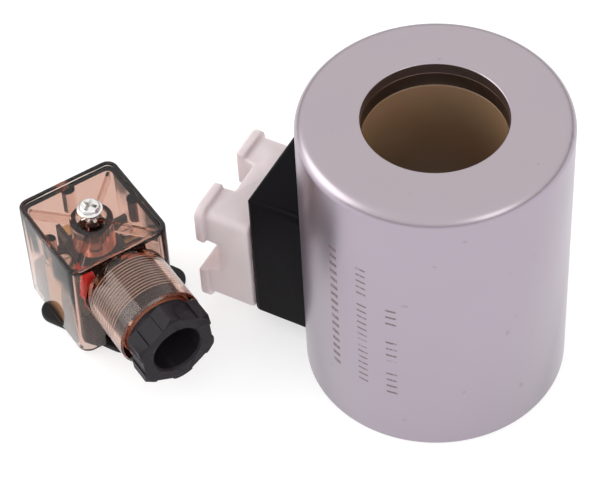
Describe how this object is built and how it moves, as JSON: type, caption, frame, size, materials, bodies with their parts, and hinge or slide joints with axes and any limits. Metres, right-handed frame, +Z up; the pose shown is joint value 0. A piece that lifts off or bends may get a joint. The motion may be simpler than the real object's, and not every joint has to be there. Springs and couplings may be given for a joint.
{
  "type": "solenoid valve coil",
  "caption": "Cylindrical solenoid coil in a steel can with a side terminal base and cap, and its unplugged clear right-angle connector on a loose gasket.",
  "frame": {"origin": "centre of the coil's bore at its bottom face", "axes": "+Z up along the bore axis, blades point to -X"},
  "size_m": [0.1313, 0.0851, 0.08],
  "materials": {
    "can_steel": "satin",
    "pole_steel": "dark phosphated",
    "plate_steel": "satin",
    "bobbin_resin": "matte",
    "copper_wire": "enamelled",
    "tape_film": "glossy",
    "potting_resin": "matte",
    "base_nylon": "fine grain",
    "brass_part": "plain",
    "tinned_blade": "tin plated",
    "cap_polythene": "translucent",
    "holder_nylon": "matte",
    "clear_smoke": "clear, glossy",
    "board_laminate": "solder mask",
    "led_red": "clear tinted",
    "resistor_body": "lacquered",
    "varistor_body": "lacquered",
    "rectifier_body": "matte",
    "zinc_steel": "zinc plated",
    "grommet_rubber": "soft",
    "nut_nylon": "fine grain",
    "gasket_rubber": "matte"
  },
  "bodies": {
    "coil": {"can": "can_steel", "upper_pole_washer": "pole_steel", "lower_pole_plate": "plate_steel", "bobbin": "bobbin_resin", "winding": "copper_wire", "insulation_tape": "tape_film", "potting": "potting_resin", "terminal_base": "base_nylon", "thread_insert": "brass_part", "blade_1": "tinned_blade", "blade_2": "tinned_blade", "earth_blade": "tinned_blade", "winding_leads": "copper_wire", "earth_strap": "brass_part"},
    "terminal_cap": {"terminal_cap": "cap_polythene"},
    "plug_insert": {"contact_holder": "holder_nylon", "contact_1": "brass_part", "contact_2": "brass_part", "earth_contact": "brass_part", "indicator_board": "board_laminate", "led": "led_red", "resistor": "resistor_body", "varistor": "varistor_body", "rectifier": "rectifier_body"},
    "clamp_plate_1": {"clamp_plate_1": "zinc_steel"},
    "clamp_plate_2": {"clamp_plate_2": "zinc_steel"},
    "clamp_plate_3": {"clamp_plate_3": "zinc_steel"},
    "clamp_screw_1": {"clamp_screw_1": "zinc_steel"},
    "clamp_screw_2": {"clamp_screw_2": "zinc_steel"},
    "clamp_screw_3": {"clamp_screw_3": "zinc_steel"},
    "housing": {"plug_housing": "clear_smoke", "cable_grommet": "grommet_rubber"},
    "lock_washer": {"lock_washer": "zinc_steel"},
    "fixing_screw": {"fixing_screw": "zinc_steel"},
    "thrust_ring": {"thrust_ring": "nut_nylon"},
    "gland_nut": {"gland_nut": "nut_nylon"},
    "gasket": {"gasket": "gasket_rubber"}
  },
  "joints": [
    {"name": "cap_pull", "type": "slide", "parent": "coil", "child": "terminal_cap", "axis": [-1, 0, 0], "range_m": [0, 0.008]},
    {"name": "plug_lift", "type": "slide", "parent": "coil", "child": "plug_insert", "axis": [0, 0, 1], "range_m": [0, 0.06]},
    {"name": "housing_lift", "type": "slide", "parent": "plug_insert", "child": "housing", "axis": [0, 0, 1], "range_m": [0, 0.04]},
    {"name": "screw_lift", "type": "slide", "parent": "housing", "child": "lock_washer", "axis": [0, 0, 1], "range_m": [0, 0.006]},
    {"name": "screw_turn", "type": "hinge", "parent": "lock_washer", "child": "fixing_screw", "pos_m": [-0.0817, -0.0248, 0.02], "axis": [0, 0, 1], "continuous": true},
    {"name": "nut_feed", "type": "slide", "parent": "housing", "child": "thrust_ring", "axis": [0.8729, -0.4879, 0], "range_m": [-0.00088, 0.00176]},
    {"name": "nut_turn", "type": "hinge", "parent": "thrust_ring", "child": "gland_nut", "pos_m": [-0.05202, -0.04139, 0.0198], "axis": [0.8729, -0.4879, 0], "range_deg": [-360, 720]},
    {"name": "gasket_align", "type": "hinge", "parent": "plug_insert", "child": "gasket", "pos_m": [-0.0817, -0.0248, 0.00075], "axis": [0, 0, 1], "range_deg": [-27.4, 0]},
    {"name": "clamp_feed_1", "type": "slide", "parent": "plug_insert", "child": "clamp_plate_1", "axis": [0, 0, 1], "range_m": [0, 0.002]},
    {"name": "clamp_turn_1", "type": "hinge", "parent": "clamp_plate_1", "child": "clamp_screw_1", "pos_m": [-0.07731, -0.01694, 0.015], "axis": [0, 0, 1], "range_deg": [0, 1440]},
    {"name": "clamp_feed_2", "type": "slide", "parent": "plug_insert", "child": "clamp_plate_2", "axis": [0, 0, 1], "range_m": [0, 0.002]},
    {"name": "clamp_turn_2", "type": "hinge", "parent": "clamp_plate_2", "child": "clamp_screw_2", "pos_m": [-0.08609, -0.03266, 0.015], "axis": [0, 0, 1], "range_deg": [0, 1440]},
    {"name": "clamp_feed_3", "type": "slide", "parent": "plug_insert", "child": "clamp_plate_3", "axis": [0, 0, 1], "range_m": [0, 0.002]},
    {"name": "clamp_turn_3", "type": "hinge", "parent": "clamp_plate_3", "child": "clamp_screw_3", "pos_m": [-0.08956, -0.02041, 0.015], "axis": [0, 0, 1], "range_deg": [0, 1440]}
  ],
  "couplings": [
    {"joint": "nut_turn", "follows": "nut_feed", "rad_per_m": 7139.3},
    {"joint": "clamp_turn_1", "follows": "clamp_feed_1", "rad_per_m": 12565},
    {"joint": "clamp_turn_2", "follows": "clamp_feed_2", "rad_per_m": 12565},
    {"joint": "clamp_turn_3", "follows": "clamp_feed_3", "rad_per_m": 12565}
  ]
}
